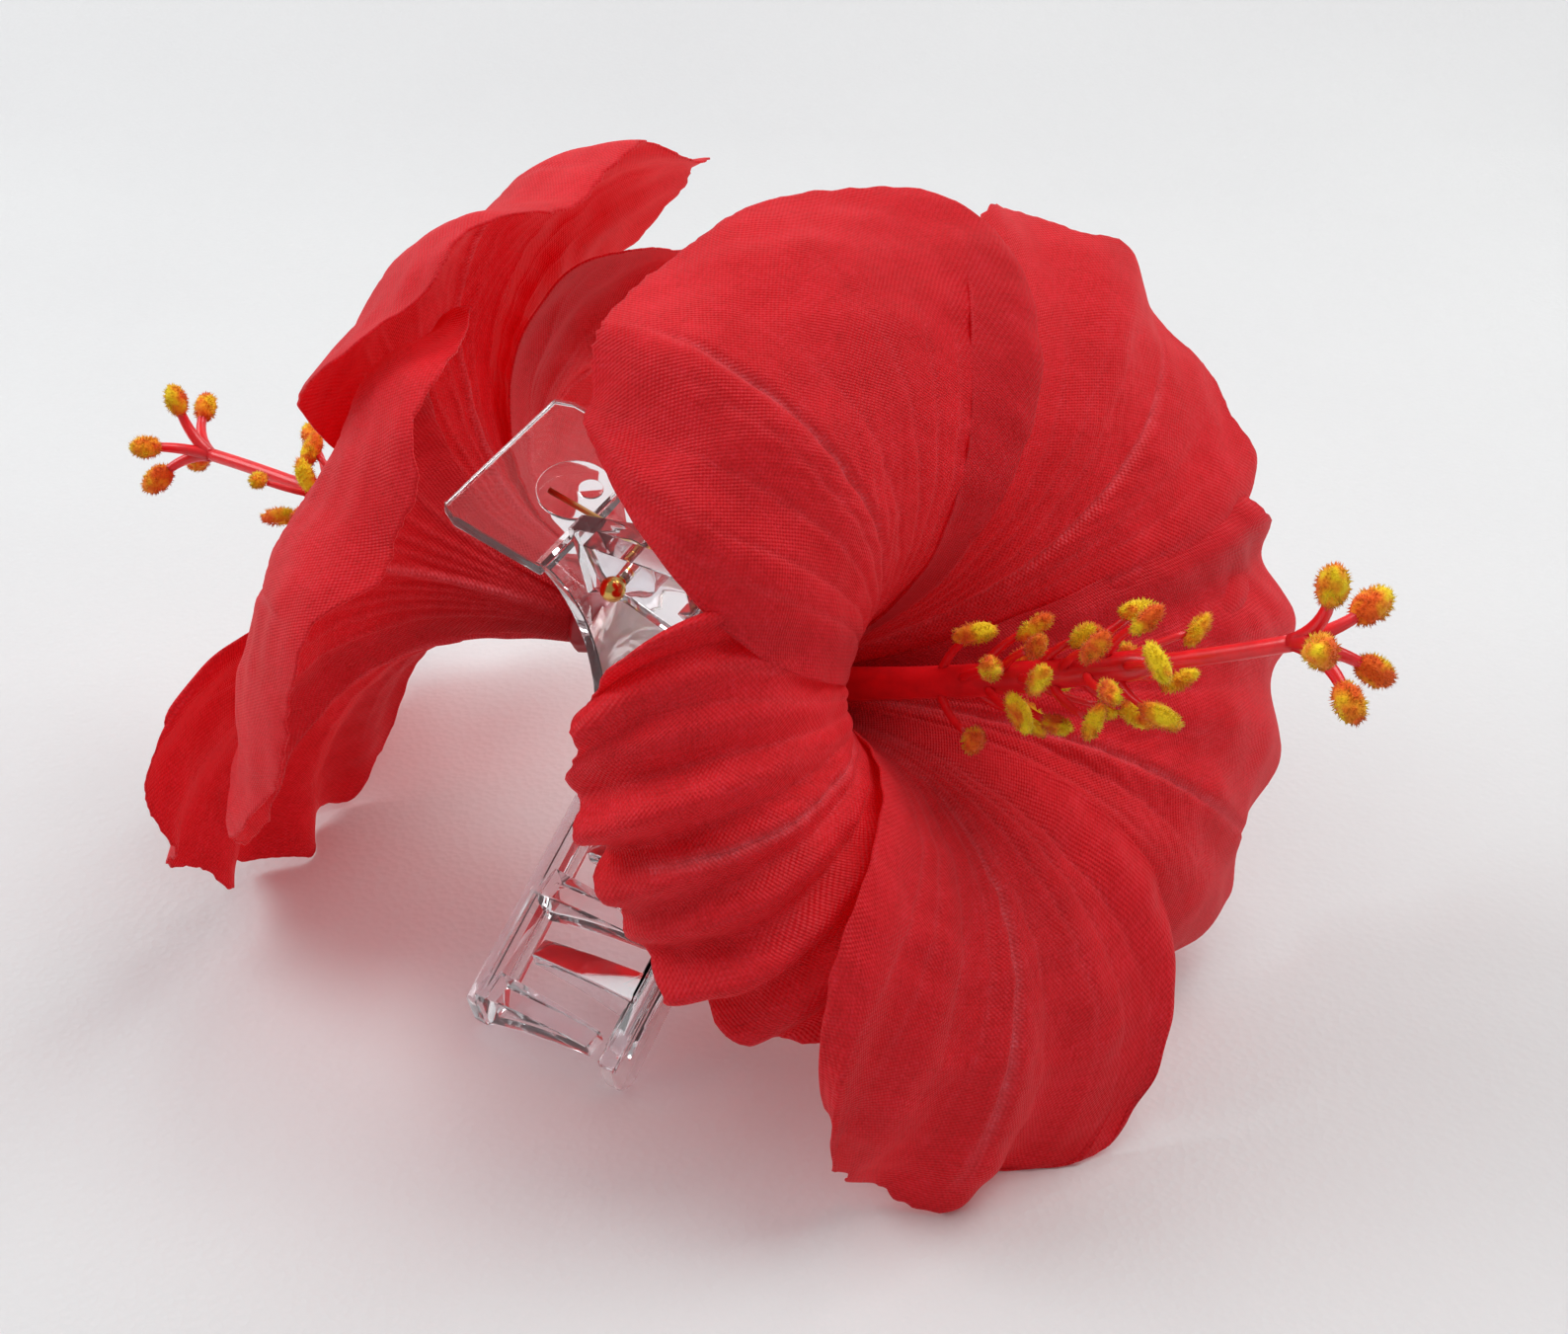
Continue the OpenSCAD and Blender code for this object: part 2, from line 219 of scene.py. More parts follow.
    fine = bump_node(nodes, links, weave.outputs["Value"], 0.00009, 0.7)
    coarse = bump_node(nodes, links, slub.outputs["Fac"], 0.00012, 0.5, fine.outputs["Normal"])
    links.new(coarse.outputs["Normal"], shader.inputs["Normal"])
    shader.inputs["Roughness"].default_value = 0.5
    shader.inputs["Specular IOR Level"].default_value = 0.3
    shader.inputs["Sheen Weight"].default_value = 0.17
    shader.inputs["Sheen Roughness"].default_value = 0.4
    shader.inputs["Sheen Tint"].default_value = (1.0, 0.62, 0.66, 1)
    through = nodes.new("ShaderNodeBsdfTranslucent")
    through.inputs["Color"].default_value = (1.0, 0.045, 0.065, 1)
    links.new(coarse.outputs["Normal"], through.inputs["Normal"])
    both = nodes.new("ShaderNodeMixShader")
    both.inputs["Fac"].default_value = 0.36
    links.new(shader.outputs["BSDF"], both.inputs[1])
    links.new(through.outputs["BSDF"], both.inputs[2])
    # light that falls through the cloth tints its shadow red
    path = nodes.new("ShaderNodeLightPath")
    tinted = nodes.new("ShaderNodeBsdfTransparent")
    tinted.inputs["Color"].default_value = (0.47, 0.06, 0.08, 1)
    lit = nodes.new("ShaderNodeMixShader")
    links.new(path.outputs["Is Shadow Ray"], lit.inputs["Fac"])
    links.new(both.outputs["Shader"], lit.inputs[1])
    links.new(tinted.outputs["BSDF"], lit.inputs[2])
    links.new(lit.outputs["Shader"], out.inputs["Surface"])
    return mat


def acrylic_material():
    """Clear moulded plastic; lamps shine through it, so its shadow stays pale."""
    mat, nodes, links, shader, out = material("clear_plastic")
    shader.inputs["Base Color"].default_value = (0.98, 0.98, 1.0, 1)
    shader.inputs["Transmission Weight"].default_value = 0.965
    shader.inputs["IOR"].default_value = 1.47
    shader.inputs["Roughness"].default_value = 0.02
    coords = nodes.new("ShaderNodeTexCoord")
    flow = noise_node(nodes, links, coords.outputs["Object"], 120.0, 1.0)
    wobble = bump_node(nodes, links, flow.outputs["Fac"], 0.0004, 0.12)
    links.new(wobble.outputs["Normal"], shader.inputs["Normal"])
    path = nodes.new("ShaderNodeLightPath")
    clear = nodes.new("ShaderNodeBsdfTransparent")
    clear.inputs["Color"].default_value = (0.86, 0.86, 0.88, 1)
    both = nodes.new("ShaderNodeMixShader")
    links.new(path.outputs["Is Shadow Ray"], both.inputs["Fac"])
    links.new(shader.outputs["BSDF"], both.inputs[1])
    links.new(clear.outputs["BSDF"], both.inputs[2])
    links.new(both.outputs["Shader"], out.inputs["Surface"])
    return mat


def plain_material(name, colour, roughness, metallic=0.0, variation=0.0, scale=300.0, coat=0.0,
                   subsurface=0.0, bump=0.0):
    mat, nodes, links, shader, out = material(name)
    coords = nodes.new("ShaderNodeTexCoord")
    mottle = noise_node(nodes, links, coords.outputs["Object"], scale, 4.0, 0.6)
    dark = tuple(c * (1 - variation) for c in colour)
    light = tuple(min(1.0, c * (1 + variation)) for c in colour)
    tint = ramp(nodes, [(0.35, dark), (0.65, light)])
    links.new(mottle.outputs["Fac"], tint.inputs["Fac"])
    links.new(tint.outputs["Color"], shader.inputs["Base Color"])
    shader.inputs["Roughness"].default_value = roughness
    shader.inputs["Metallic"].default_value = metallic
    shader.inputs["Coat Weight"].default_value = coat
    shader.inputs["Coat Roughness"].default_value = 0.12
    if subsurface:
        shader.inputs["Subsurface Weight"].default_value = subsurface
        shader.inputs["Subsurface Scale"].default_value = 0.002
        shader.inputs["Subsurface Radius"].default_value = (1.0, 0.3, 0.2)
    if bump:
        relief = bump_node(nodes, links, mottle.outputs["Fac"], bump, 0.5)
        links.new(relief.outputs["Normal"], shader.inputs["Normal"])
    return mat


def flock_material():
    """Short fibres, yellow where light and orange in patches."""
    mat, nodes, links, shader, out = material("anther_flock")
    coords = nodes.new("ShaderNodeTexCoord")
    patch = noise_node(nodes, links, coords.outputs["Object"], 260.0, 2.0, 0.55)
    fibre = noise_node(nodes, links, coords.outputs["Object"], 2600.0, 2.0, 0.6)
    tint = ramp(nodes, [(0.40, (0.92, 0.13, 0.003)), (0.50, (0.98, 0.36, 0.003)),
                        (0.58, (1.0, 0.70, 0.004))])
    links.new(patch.outputs["Fac"], tint.inputs["Fac"])
    links.new(tint.outputs["Color"], shader.inputs["Base Color"])
    relief = bump_node(nodes, links, fibre.outputs["Fac"], 0.0003, 0.8)
    links.new(relief.outputs["Normal"], shader.inputs["Normal"])
    shader.inputs["Roughness"].default_value = 0.9
    shader.inputs["Sheen Weight"].default_value = 0.12
    return mat


CLOTH = cloth_material()
ACRYLIC = acrylic_material()
PISTIL = plain_material("pistil_plastic", (0.80, 0.010, 0.016), 0.36, variation=0.12, coat=0.2,
                        subsurface=0.25, bump=0.00015)
CALYX = plain_material("calyx_plastic", (0.34, 0.01, 0.018), 0.42, variation=0.2, bump=0.0001)
GOLD = plain_material("pin_brass", (0.78, 0.50, 0.14), 0.2, metallic=1.0, variation=0.08, bump=0.00003)
WIRE = plain_material("spring_wire", (0.58, 0.44, 0.16), 0.28, metallic=1.0, variation=0.12, bump=0.00002)
GLUE = plain_material("hot_glue", (0.80, 0.77, 0.70), 0.3, variation=0.05, subsurface=0.5, bump=0.0006,
                      scale=160.0)
FLOCK = flock_material()


# ---------------------------------------------------------------- mesh helpers
def mesh_piece(name, verts, faces, mat):
    """Smooth-shaded object from its corners, in metres, and its faces."""
    mesh = bpy.data.meshes.new(name)
    mesh.from_pydata([tuple(v) for v in verts], [], faces)
    mesh.materials.append(mat)
    mesh.polygons.foreach_set("use_smooth", [True] * len(mesh.polygons))
    mesh.update()
    obj = bpy.data.objects.new(name, mesh)
    bpy.context.scene.collection.objects.link(obj)
    return obj


def show(obj, body, node):
    """Shows a piece in place of a CAD node, moving with a body."""
    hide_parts(node)
    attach(obj, body)


class Build:
    """Vertices and faces of one piece, gathered from tubes, balls and lofts. Millimetres."""

    def __init__(self):
        self.verts = []
        self.faces = []

    def rings(self, rings):
        """Skin over rings of points, closed at both ends."""
        start = len(self.verts)
        n = len(rings[0])
        for ring in rings:
            self.verts.extend(ring)
        for i in range(len(rings) - 1):
            for j in range(n):
                a, b = start + i * n + j, start + i * n + (j + 1) % n
                self.faces.append((a, b, b + n, a + n))
        self.faces.append(tuple(start + j for j in reversed(range(n))))
        last = start + (len(rings) - 1) * n
        self.faces.append(tuple(last + j for j in range(n)))

    def tube(self, path, radii, sides):
        """Round rod along a path, with one radius or one for each point."""
        path = [Vector(p) for p in path]
        along = (path[1] - path[0]).normalized()
        across = along.orthogonal().normalized()
        rings = []
        for i, point in enumerate(path):
            ahead = (path[min(i + 1, len(path) - 1)] - path[max(i - 1, 0)]).normalized()
            across = (across - ahead * across.dot(ahead)).normalized()
            other = ahead.cross(across)
            r = radii[i] if hasattr(radii, "__len__") else radii
            rings.append([point + (across * math.cos(a) + other * math.sin(a)) * r
                          for a in (2 * math.pi * j / sides for j in range(sides))])
        self.rings(rings)

    def blob(self, centre, along, length, radius, rng, rough=0.12, rows=10, sides=14):
        """Rounded lump whose surface wanders a little."""
        centre, along = Vector(centre), Vector(along).normalized()
        across = along.orthogonal().normalized()
        other = along.cross(across)
        lobes = [(rng.uniform(0, 6.28), rng.randint(2, 4), rng.uniform(0.3, 1.0)) for _ in range(3)]
        rings = []
        for i in range(rows + 1):
            lat = -math.pi / 2 + math.pi * (i + 0.35) / (rows + 0.7)
            ring = []
            for j in range(sides):
                a = 2 * math.pi * j / sides
                bump = 1 + rough * sum(w * math.sin(k * a + p + 2 * lat) for p, k, w in lobes) / 1.5
                r = radius * math.cos(lat) * bump
                ring.append(centre + along * (length / 2 * math.sin(lat))
                            + (across * math.cos(a) + other * math.sin(a)) * r)
            rings.append(ring)
        self.rings(rings)

    def fibres(self, centre, along, length, radius, rng, count, reach, width=0.07):
        """Short flock fibres standing on a lump."""
        centre, along = Vector(centre), Vector(along).normalized()
        across = along.orthogonal().normalized()
        other = along.cross(across)
        for _ in range(count):
            lat, a = math.asin(rng.uniform(-1, 1)), rng.uniform(0, 2 * math.pi)
            ring = across * math.cos(a) + other * math.sin(a)
            root = centre + (along * (length / 2 * math.sin(lat)) + ring * radius * math.cos(lat)) * 0.94
            out = (along * math.sin(lat) + ring * math.cos(lat)).normalized()
            lean = Vector((rng.gauss(0, 0.35), rng.gauss(0, 0.35), rng.gauss(0, 0.35)))
            tip = root + (out + lean).normalized() * reach * rng.uniform(0.6, 1.2)
            side = out.orthogonal().normalized() * width
            third = out.cross(side).normalized() * width
            k = len(self.verts)
            self.verts.extend([root + side, root - side * 0.5 + third, root - side * 0.5 - third, tip])
            self.faces.extend([(k, k + 1, k + 3), (k + 1, k + 2, k + 3), (k + 2, k, k + 3)])

    def piece(self, name, matrix, mat):
        """The finished object, placed by the matrix."""
        return mesh_piece(name, [(matrix @ Vector(v)) * MM for v in self.verts], self.faces, mat)


# ---------------------------------------------------------------- flowers
FLOWERS = {
    "left": dict(side=-1, pitch=9, yaw=184),
    "right": dict(side=1, pitch=21, yaw=0),
}


def flower_matrix(side, pitch, yaw):
    p, y = math.radians(pitch), math.radians(yaw)
    axis = Vector((math.cos(p) * math.cos(y), math.cos(p) * math.sin(y), math.sin(p)))
    up = (Vector((0, 0, 1)) - axis * axis.z).normalized()
    base = REST @ Vector((side * JAW_HALF, 0, -FLOWER_DROP))
    turn = Matrix((up, axis.cross(up), axis)).transposed().to_4x4()
    return Matrix.Translation(base) @ turn


# How each flower opens: the mean angle of its rim away from the axis, by how much that sways around
# the flower, and the direction at which it is largest. Degrees.
OPEN = {
    "left": dict(mean=134, sway=26, at=0),
    "right": dict(mean=136, sway=42, at=75),
}
# One entry for each petal, in millimetres and degrees.
# phase: direction around the flower. length: along the cloth. sides: half angle on each side.
# narrow: how much less that is at the tip. flutes: (how many, depth). ruffle: (waves, degrees).
# lobes: depth of the scallops in the cut edge. round: how far the corners are cut back.
# skew: how much longer the right edge is. curl: further bend of the whole rim. lift: the same for
# each edge. over: 1 if that edge lies over its neighbour, -1 if under.
PETALS = {
    "left_petal_1": dict(phase=8, length=80, sides=(50, 52), flutes=(4, 1.0), ruffle=(3, 6), lobes=0.9,
                         curl=10, narrow=(2, 2)),
    "left_petal_2": dict(phase=76, length=68, sides=(52, 50), flutes=(5, 1.0), ruffle=(3, 10), lobes=0.8),
    "left_petal_3": dict(phase=150, length=78, sides=(54, 54), flutes=(6, 1.2), ruffle=(5, 10), lobes=1.1,
                         curl=-36, narrow=(2, 2)),
    "left_petal_4": dict(phase=217, length=70, sides=(50, 52), flutes=(5, 1.0), ruffle=(4, 10), lobes=1.0,
                         curl=-4, narrow=(6, 12)),
    "left_petal_5": dict(phase=289, length=72, sides=(52, 56), flutes=(4, 1.0), ruffle=(3, 10), lobes=0.8,
                         curl=32, narrow=(2, 2)),
    "right_petal_1": dict(phase=23, length=78, sides=(56, 44), flutes=(4, 0.9), ruffle=(2, 6), lobes=0.5,
                          round=0.22, curl=8, skew=-0.06, narrow=(6, 27), over=(-1, -1), lift=(0, 34)),
    "right_petal_2": dict(phase=94, length=62, sides=(52, 48), flutes=(9, 1.5), ruffle=(6, 10), lobes=0.5,
                          curl=12, over=(1, 1), narrow=(16, 8)),
    "right_petal_3": dict(phase=153, length=79, sides=(48, 50), flutes=(5, 1.2), ruffle=(3, 9), lobes=0.9,
                          narrow=(25, 25), curl=6),
    "right_petal_4": dict(phase=223, length=75, sides=(56, 54), flutes=(7, 1.1), ruffle=(6, 9), lobes=1.1,
                          curl=24, narrow=(0, 0)),
    "right_petal_5": dict(phase=297, length=73, sides=(50, 52), flutes=(5, 0.9), ruffle=(3, 8), lobes=0.8,
                          skew=0.04, curl=13),
}
ROWS, COLUMNS = 128, 150
FIRST_ANTHER, LAST_ANTHER = 0.34, 0.70
THROAT_R, THROAT_Z, FIRST = 4.4, 6.35, 12.0


def petal_sheet(p, flower, seed):
    """Middle of the cloth as a grid of points in the flower's frame, with its flat places and relief."""
    rng = np.random.RandomState(seed)
    t = np.linspace(-1, 1, COLUMNS)[None, :]
    s = np.linspace(0, 1, ROWS)[:, None]

    # cut edge: scallops and small ragged steps
    def wander(waves, count):
        total = np.zeros_like(t)
        for _ in range(count):
            size, pace, start = rng.uniform(0.5, 1), rng.uniform(0.7, 1.4), rng.uniform(0, 6.28)
            total += size * np.sin(waves * pace * np.pi * t + start)
        return total / count ** 0.5
    edge = p["lobes"] * wander(7, 3) + 0.22 * wander(28, 4) + 0.10 * wander(60, 4)
    cut = (1 + p.get("skew", 0) * t) * (1 - p.get("round", 0.2) * np.abs(t) ** 3)
    length = p["length"] * cut + edge
    wide = np.where(t < 0, p["sides"][0], p["sides"][1])
    narrow = p.get("narrow", (8, 8))
    half = np.radians(wide - np.where(t < 0, narrow[0], narrow[1]) * s ** 4)
    around = np.radians(p["phase"]) + t * half
    last = flower["mean"] + flower["sway"] * np.cos(around - np.radians(flower["at"]))
    left, right = p.get("lift", (0, 0))
    last = last + p.get("curl", 0) + left * np.clip(-t, 0, 1) ** 2 + right * np.clip(t, 0, 1) ** 2
    waves, depth = p["ruffle"]
    beat = depth * np.sin(waves * np.pi * t + rng.uniform(0, 6.28)) * (1 + 0.3 * wander(2, 2))

    # walk out along the cloth from the throat to each point
    run = s * length
    steps = 40
    w = np.full(run.shape, THROAT_Z)
    r = np.full(run.shape, THROAT_R)
    for i in range(steps):
        u = run * (i + 0.5) / steps / p["length"]
        angle = np.radians(FIRST + (last - FIRST) * u ** 1.2 + beat * u ** 4)
        w = w + np.cos(angle) * run / steps
        r = r + np.sin(angle) * run / steps
    u = run / p["length"]
    tilt = np.radians(FIRST + (last - FIRST) * u ** 1.2 + beat * u ** 4)

    # flutes and veins, measured off the cloth
    flutes, height = p["flutes"]
    drift = 0.25 * np.sin(2.3 * s + seed) * s
    wave = np.sin(flutes * np.pi * (t + drift * 0.3) + seed) * (0.75 + 0.25 * np.sin(3 * t + seed))
    off = height * wave * np.clip((s - 0.22) / 0.6, 0, 1) ** 1.3
    across = r * half
    vein = np.zeros((ROWS, COLUMNS))
    # mask for the pale creases: partly wear, partly painted sheen on the raised ridges
    crease_wear_and_sheen = np.zeros((ROWS, COLUMNS))
    for i, root in enumerate(np.linspace(-0.78, 0.78, 9)):
        main = i == 4
        bend = root * (0.55 + 0.45 * s) + 0.05 * np.sin(3 * s + 1.7 * i + seed) * s
        ridge = np.exp(-((t - bend) * across / (0.55 if main else 0.42)) ** 2)
        fade = np.clip(s / 0.15, 0, 1) * np.clip((0.97 - s) / (0.2 if main else 0.45), 0, 1)
        vein += ridge * fade * (0.8 if main else 0.26)
        crease_wear_and_sheen += ridge * fade * (0.34 if main else 0.08)
    # side veins leave the main one at a slant
    for i in range(9):
        for hand in (-1, 1):
            start = 0.25 + 0.07 * i
            line = hand * (s - start) * (0.9 + 0.1 * i)
            ridge = np.exp(-((t - line) * across / 0.45) ** 2) * (hand * t > 0) * (s > start)
            fade = np.clip((0.95 - s) / 0.4, 0, 1) * np.clip(1 - np.abs(t) / 0.85, 0, 1)
            vein += ridge * fade * 0.20
            crease_wear_and_sheen += ridge * fade * 0.03
    # small soft dents all over, deeper towards the rim
    x, y = t * across, s * length
    dents = np.zeros((ROWS, COLUMNS))
    for _ in range(16):
        k, way = 2 * np.pi / rng.uniform(4.5, 16), rng.uniform(0, np.pi)
        dents += np.sin(k * (x * np.cos(way) + y * np.sin(way)) + rng.uniform(0, 6.28)) * rng.uniform(0.3, 1)
    off = off + 0.075 * dents * np.clip(s / 0.5, 0.15, 1)
    # each edge lies over its neighbour's or under it
    under, over = p.get("over", (-1, 1))
    off = off - vein + (0.35 + 2.1 * s ** 2) * np.abs(t) * np.where(t < 0, under, over)
    rr = r - off * np.cos(tilt)
    ww = w + off * np.sin(tilt)
    points = np.stack([rr * np.cos(around), rr * np.sin(around), ww], -1)
    flat = np.stack([t * across, s * length], -1)
    deep = np.clip((0.42 - s) / 0.42, 0, 1) * np.ones_like(t)
    return points, flat, np.clip(crease_wear_and_sheen, 0, 1), deep


def petal_piece(name, p, flower, matrix, seed, thickness=0.28):
    """Closed thin sheet of cloth, one grid for each face and a cut edge around."""
    points, flat, crease_wear_and_sheen, deep = petal_sheet(p, flower, seed)
    rows, columns = points.shape[:2]
    m = np.array(matrix)
    points = points @ m[:3, :3].T + m[:3, 3]
    # a tip that reaches the table lies along it
    give = 0.5
    points[..., 2] = 0.3 + give * np.logaddexp(0, (points[..., 2] - 0.3) / give)
    du = np.gradient(points, axis=1)
    dv = np.gradient(points, axis=0)
    normal = np.cross(du, dv)
    normal /= np.linalg.norm(normal, axis=-1, keepdims=True)
    both = np.concatenate([(points + normal * thickness / 2).reshape(-1, 3),
                           (points - normal * thickness / 2).reshape(-1, 3)])
    both = both * MM
    index = np.arange(rows * columns).reshape(rows, columns)
    a, b = index[:-1, :-1].ravel(), index[:-1, 1:].ravel()
    c, d = index[1:, 1:].ravel(), index[1:, :-1].ravel()
    n = rows * columns
    top = np.stack([a, b, c, d], 1)
    under = np.stack([d, c, b, a], 1) + n
    rim = np.concatenate([index[0, :], index[1:, -1], index[-1, -2::-1], index[-2:0:-1, 0]])
    nxt = np.roll(rim, -1)
    wall = np.stack([rim, rim + n, nxt + n, nxt], 1)
    quads = np.concatenate([top, under, wall]).astype(np.int32)
    mesh = bpy.data.meshes.new(name)
    mesh.vertices.add(len(both))
    mesh.vertices.foreach_set("co", both.astype(np.float32).ravel())
    mesh.loops.add(quads.size)
    mesh.loops.foreach_set("vertex_index", quads.ravel())
    mesh.polygons.add(len(quads))
    mesh.polygons.foreach_set("loop_start", np.arange(0, quads.size, 4, dtype=np.int32))
    mesh.polygons.foreach_set("use_smooth", np.ones(len(quads), bool))
    mesh.update(calc_edges=True)
    flat2 = np.concatenate([flat.reshape(-1, 2)] * 2)
    uv = mesh.uv_layers.new(name="cloth")
    uv.data.foreach_set("uv", (flat2[quads.ravel()] / 100).astype(np.float32).ravel())
    colour = mesh.color_attributes.new("relief", "FLOAT_COLOR", "POINT")
    rgba = np.ones((len(both), 4), np.float32)
    # red channel: the pale creases, partly wear and partly painted sheen
    rgba[:, 0] = np.tile(crease_wear_and_sheen.ravel(), 2)
    rgba[:, 1] = np.tile(deep.ravel(), 2)
    colour.data.foreach_set("color", rgba.ravel())
    mesh.materials.append(CLOTH)
    mesh.validate()
    obj = bpy.data.objects.new(name, mesh)
    bpy.context.scene.collection.objects.link(obj)
    cut = np.concatenate([flat[0, :], flat[1:, -1], flat[-1, -2::-1], flat[-2:0:-1, 0]])
    x, y = cut[:, 0], cut[:, 1]
    area = abs(np.sum(x * np.roll(y, -1) - np.roll(x, -1) * y)) / 2
    return obj, (float(x.max() - x.min()) * MM, float(y.max()) * MM), float(area) * MM * MM


def pistil_parts(side_name, matrix, seed):
    """Moulded column with curved filaments and stigma arms; flocked anthers and stigma tips."""
    rng = random.Random(seed)
    length, count, golden = PISTIL_LENGTH, 25, 137.5
    sag = 3.5 if side_name == "right" else -4.5
    stem, anthers, stigmas = Build(), Build(), Build()
    path, radii = [], []
    for i in range(41):
        k = i / 40
        bow = sag * (max(0.0, k - 0.35) / 0.65) ** 2
        path.append((bow, 0.5 * math.sin(2.2 * math.pi * k), 5.0 + (length - 5.0) * k))
        if k < LAST_ANTHER:
            radii.append(2.25 - 0.5 * k / LAST_ANTHER + 0.16 * math.sin(19 * k) * k)
        else:
            radii.append(0.95 + 0.8 * max(0.0, 1 - (k - LAST_ANTHER) / 0.07) ** 2)
    stem.tube(path, radii, 18)

    def column(k):
        i = min(40, max(0, int(round(40 * (k * length - 5.0) / (length - 5.0)))))
        return Vector(path[i])

    for i in range(count):
        place = FIRST_ANTHER + (LAST_ANTHER - FIRST_ANTHER) * i / (count - 1)
        root = column(place)
        around = math.radians(i * golden + rng.uniform(-10, 10))
        out = Vector((math.cos(around), math.sin(around), 0))
        lean = math.radians(52 + rng.uniform(-8, 8))
        reach = 8.5 + rng.uniform(-1.6, 1.0)
        line = []
        for j in range(8):
            q = j / 7
            bend = lean + 0.35 * (0.5 - q)
            rise = Vector((0, 0, reach * q * math.cos(bend)))
            line.append(root + out * reach * q * math.sin(bend) + rise)
        stem.tube(line, [0.62 - 0.18 * q / 7 for q in range(8)], 8)
        way = (line[-1] - line[-3]).normalized()
        turned = (way + Vector((rng.gauss(0, 0.5), rng.gauss(0, 0.5), rng.gauss(0, 0.5)))).normalized()
        centre = line[-1] + way * 1.3
        size = rng.uniform(0.85, 1.12)
        anthers.blob(centre, turned, 5.0 * size, 1.05 * size, rng, 0.25)
        anthers.fibres(centre, turned, 5.0 * size, 1.05 * size, rng, 420, 0.6, 0.08)
    for i in range(5):
        around = math.radians(i * 72 + rng.uniform(-9, 9))
        out = Vector((math.cos(around), math.sin(around), 0))
        line = []
        for j in range(9):
            q = j / 8
            lean = math.radians(18 + 26 * q)
            rise = Vector((0, 0, -0.8 + 8.6 * q * math.cos(lean)))
            line.append(column(1.0) + out * 8 * q * math.sin(lean) + rise)
        stem.tube(line, [0.95 - 0.3 * q / 8 for q in range(9)], 8)
        way = (line[-1] - line[-2]).normalized()
        centre = line[-1] + way * 1.1
        size = rng.uniform(0.9, 1.1)
        stigmas.blob(centre, way, 5.0 * size, 1.6 * size, rng)
        stigmas.fibres(centre, way, 5.0 * size, 1.6 * size, rng, 480, 0.6, 0.09)
    piece = stem.piece(side_name + "_flower_pistil", matrix, PISTIL)
    show(piece, side_name, side_name + "_pistil")
    piece = anthers.piece(side_name + "_flower_anthers", matrix, FLOCK)
    show(piece, side_name, side_name + "_anthers")
    piece = stigmas.piece(side_name + "_flower_stigmas", matrix, FLOCK)
    show(piece, side_name, side_name + "_stigmas")


def calyx_piece(side_name, matrix):
    """Moulded cup at the flower's base, with ten faint ribs."""
    build = Build()
    profile = [(0.5, 1.6), (2.8, 1.6), (3.4, 1.8), (4.3, 3.0),
               (5.1, 4.4), (5.5, 5.4), (5.3, 6.0), (3.0, 6.0)]
    ribs, rib_height, points = 10, 0.12, 60
    rings = []
    for r, z in profile:
        ring = []
        for j in range(points):
            a = 2 * math.pi * j / points
            rr = r + rib_height * math.cos(ribs * a)
            ring.append(Vector((rr * math.cos(a), rr * math.sin(a), z)))
        rings.append(ring)
    build.rings(rings)
    piece = build.piece(side_name + "_flower_calyx", matrix, CALYX)
    show(piece, side_name, side_name + "_calyx")


def glue_piece(side_name, side):
    """Uneven dome of set glue between the jaw and the calyx."""
    rng = random.Random(7 if side > 0 else 8)
    build = Build()
    lobes = [(rng.uniform(0, 6.28), k, rng.uniform(0.15, 0.5)) for k in (2, 3, 5)]
    profile = [(7.2, 0.0), (7.45, 0.35), (7.2, 0.9), (6.6, 1.6),
               (5.9, 2.3), (5.2, 2.8), (4.3, 3.0), (2.0, 3.0)]
    rings = []
    for r, z in profile:
        ring = []
        for j in range(48):
            a = 2 * math.pi * j / 48
            rr = r * (1 + 0.07 * sum(w * math.sin(k * a + p) for p, k, w in lobes))
            up = -FLOWER_DROP + rr * math.sin(a) * side
            ring.append(Vector((side * (JAW_HALF + z), rr * math.cos(a), up)))
        rings.append(ring)
    build.rings(rings)
    piece = build.piece(side_name + "_glue_dome", REST, GLUE)
    show(piece, side_name, side_name + "_glue")


for side_name, spec in FLOWERS.items():
    matrix = flower_matrix(**spec)
    for number in range(1, 6):
        node = f"{side_name}_petal_{number}"
        seed = number + (5 if spec["side"] > 0 else 0)
        petal, flat, area = petal_piece(f"{side_name}_flower_petal_{number}", PETALS[node],
                                        OPEN[side_name], matrix, seed)
        show(petal, side_name, node)
    pistil_parts(side_name, matrix, 3 if spec["side"] > 0 else 4)
    calyx_piece(side_name, matrix)
    glue_piece(side_name, spec["side"])


# ---------------------------------------------------------------- clip
def rim_z(y):
    """Height of the jaws' rim below the hinge, at y from the middle."""
    return -RIM_DEPTH - max(0.0, abs(y) - RIM_JOIN) * math.tan(RIM_DROOP)


def bezier(p, t):
    shares = ((1 - t) ** 3, 3 * t * (1 - t) ** 2, 3 * t * t * (1 - t), t ** 3)
    return [sum(share * point[i] for share, point in zip(shares, p)) for i in (0, 1)]


def both_sides(half):
    """A closed outline from its half at positive y."""
    return list(half) + [(-y, z) for y, z in reversed(half)]


